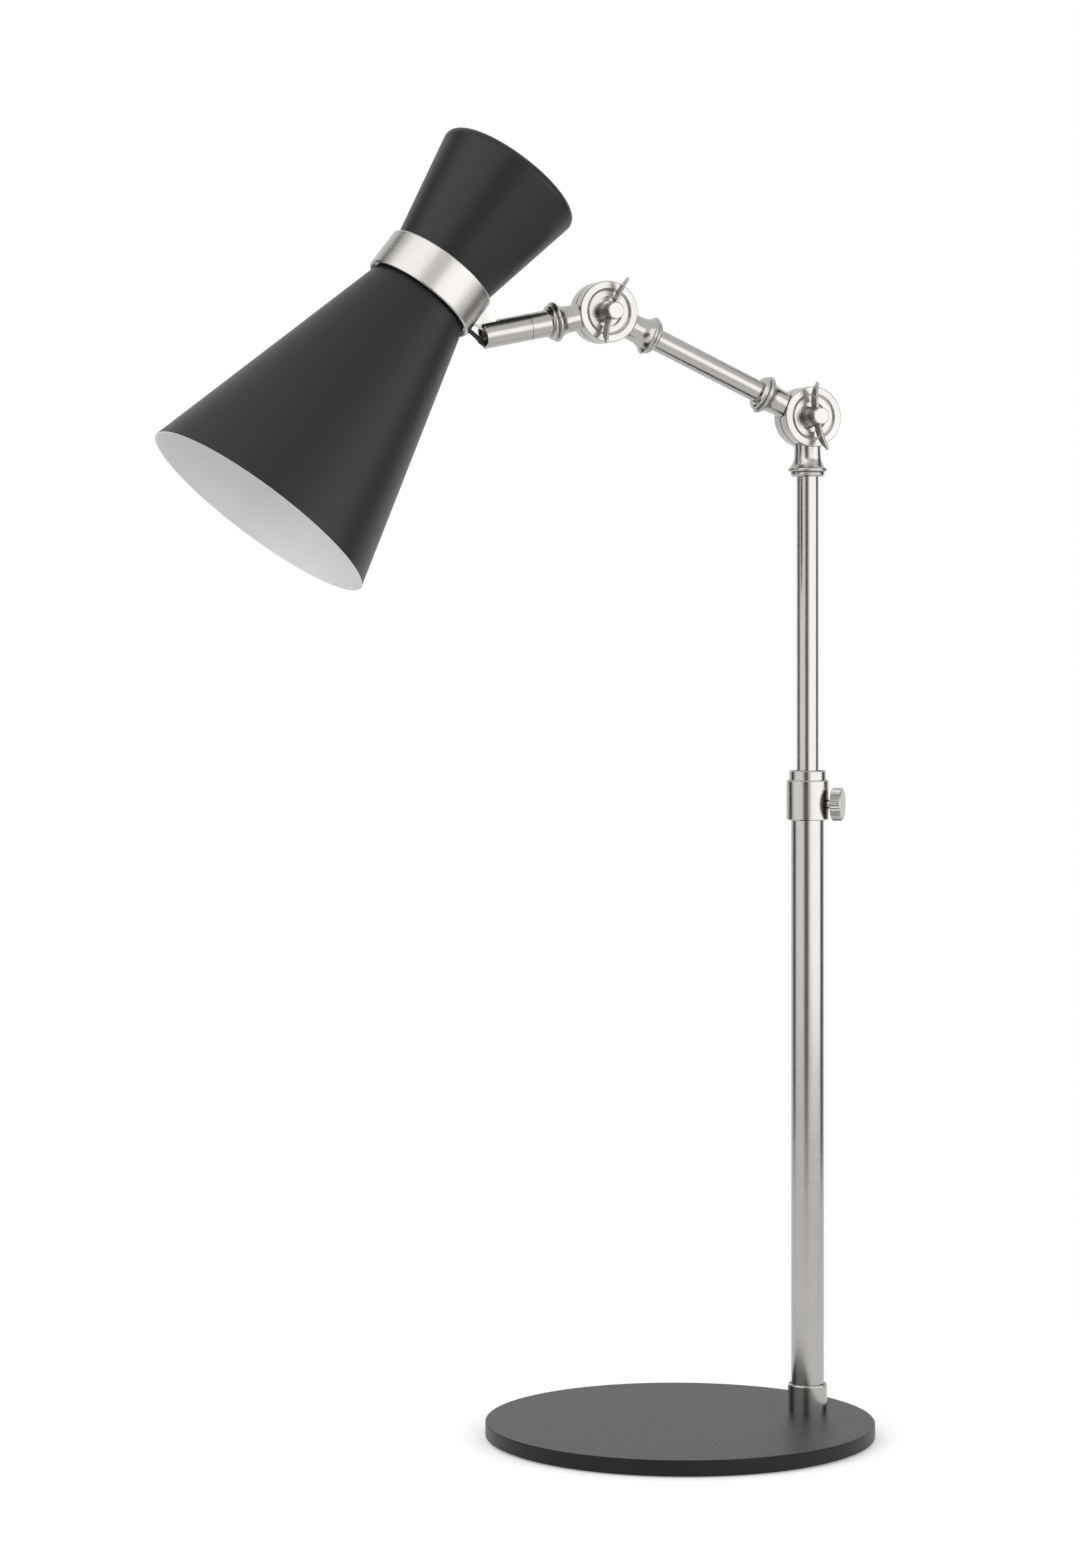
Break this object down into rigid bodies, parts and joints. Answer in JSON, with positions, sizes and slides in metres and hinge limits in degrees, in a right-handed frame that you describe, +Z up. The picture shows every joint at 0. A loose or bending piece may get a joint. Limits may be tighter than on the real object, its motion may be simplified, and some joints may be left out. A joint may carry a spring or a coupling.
{
  "type": "adjustable desk lamp",
  "caption": "Adjustable desk lamp: round base, off-centre telescoping post, two wing-nut knuckles, a short swivelling spur and an hourglass metal shade with a wide waist band.",
  "frame": {"origin": "centre of the base's underside, on the table", "axes": "+Z up; +X from the base's centre towards the post; -X is where the arm, spur and shade reach; hinge axes of both knuckles along Y with the wing nuts on -Y"},
  "size_m": [0.4192, 0.223, 0.7437],
  "materials": {
    "base_paint": "satin",
    "pad_rubber": "matte",
    "nickel": "satin",
    "zinc_steel": "satin",
    "shade_black": "matte",
    "black_plastic": "matte",
    "white_plastic": "satin",
    "porcelain": "gloss",
    "brass": "satin",
    "lead_black": "satin"
  },
  "bodies": {
    "base": {"base_plate": "base_paint", "base_pad": "pad_rubber", "cord_grommet": "black_plastic", "foot_nipple": "zinc_steel", "foot_washer": "zinc_steel", "foot_nut": "zinc_steel", "foot_plug": "zinc_steel", "post_ferrule": "nickel", "lower_tube": "nickel", "clamp_collar": "nickel", "collar_cap": "nickel"},
    "pad": {"pressure_pad": "white_plastic"},
    "thumbscrew": {"thumbscrew": "nickel"},
    "slider": {"guide_sleeve": "white_plastic"},
    "mast": {"upper_tube": "nickel", "retaining_rings": "zinc_steel", "post_knuckle": "nickel"},
    "arm": {"arm_lower_knuckle": "nickel", "arm_tube": "nickel", "arm_upper_knuckle": "nickel", "knuckle_bolts": "nickel", "friction_washers": "black_plastic"},
    "lower_washer": {"lower_nut_washer": "nickel"},
    "lower_nut": {"lower_wing_nut": "nickel"},
    "upper_washer": {"upper_nut_washer": "nickel"},
    "upper_nut": {"upper_wing_nut": "nickel"},
    "spur": {"spur_knuckle": "nickel", "spur_stub": "nickel", "swivel_spindle": "zinc_steel", "spindle_clip": "zinc_steel"},
    "sleeve": {"spur_sleeve": "nickel", "tilt_fork": "zinc_steel", "tilt_pin": "zinc_steel"},
    "shade": {"shade_bracket": "nickel", "bracket_screw": "zinc_steel", "waist_band": "nickel", "lower_shade": "shade_black", "upper_shade": "shade_black", "socket_plate": "zinc_steel", "waist_screws": "zinc_steel", "socket_body": "porcelain", "socket_shell": "brass", "socket_contact": "brass", "socket_nipple": "zinc_steel", "socket_nut": "zinc_steel", "lamp_lead": "lead_black", "lead_bushing": "black_plastic"}
  },
  "joints": [
    {"name": "height_slide", "type": "slide", "parent": "base", "child": "slider", "axis": [0, 0, 1], "range_m": [-0.17, 0.02]},
    {"name": "post_swivel", "type": "hinge", "parent": "slider", "child": "mast", "pos_m": [0.0805, 0, 0.4], "axis": [0, 0, 1], "range_deg": [-170, 170]},
    {"name": "thumbscrew_travel", "type": "slide", "parent": "base", "child": "pad", "axis": [0.809, -0.5878, 0], "range_m": [0, 0.0025]},
    {"name": "thumbscrew_turn", "type": "hinge", "parent": "pad", "child": "thumbscrew", "pos_m": [0.0805, 0, 0.3607], "axis": [0.809, -0.5878, 0], "range_deg": [0, 1080]},
    {"name": "arm_tilt", "type": "hinge", "parent": "mast", "child": "arm", "pos_m": [0.0805, 0, 0.585], "axis": [0, 1, 0], "range_deg": [-50, 66]},
    {"name": "lower_nut_travel", "type": "slide", "parent": "arm", "child": "lower_washer", "axis": [0, -1, 0], "range_m": [0, 0.0021]},
    {"name": "lower_nut_turn", "type": "hinge", "parent": "lower_washer", "child": "lower_nut", "pos_m": [0.0805, 0, 0.585], "axis": [0, -1, 0], "range_deg": [0, 720]},
    {"name": "spur_tilt", "type": "hinge", "parent": "arm", "child": "spur", "pos_m": [-0.04715, 0, 0.6425], "axis": [0, -1, 0], "range_deg": [-60, 45]},
    {"name": "upper_nut_travel", "type": "slide", "parent": "arm", "child": "upper_washer", "axis": [0, -1, 0], "range_m": [0, 0.0021]},
    {"name": "upper_nut_turn", "type": "hinge", "parent": "upper_washer", "child": "upper_nut", "pos_m": [-0.04715, 0, 0.6425], "axis": [0, -1, 0], "range_deg": [0, 720]},
    {"name": "sleeve_swivel", "type": "hinge", "parent": "spur", "child": "sleeve", "pos_m": [-0.1129, 0, 0.62912], "axis": [-0.9799, 0, -0.1994], "range_deg": [-170, 170]},
    {"name": "shade_tilt", "type": "hinge", "parent": "sleeve", "child": "shade", "pos_m": [-0.1129, 0, 0.62912], "axis": [0, -1, 0], "range_deg": [-24, 50], "deforming": ["lamp_lead"]}
  ],
  "couplings": [
    {"joint": "thumbscrew_travel", "follows": "thumbscrew_turn", "m_per_rad": 0.00012732},
    {"joint": "lower_nut_travel", "follows": "lower_nut_turn", "m_per_rad": 0.00015915},
    {"joint": "upper_nut_travel", "follows": "upper_nut_turn", "m_per_rad": 0.00015915}
  ]
}
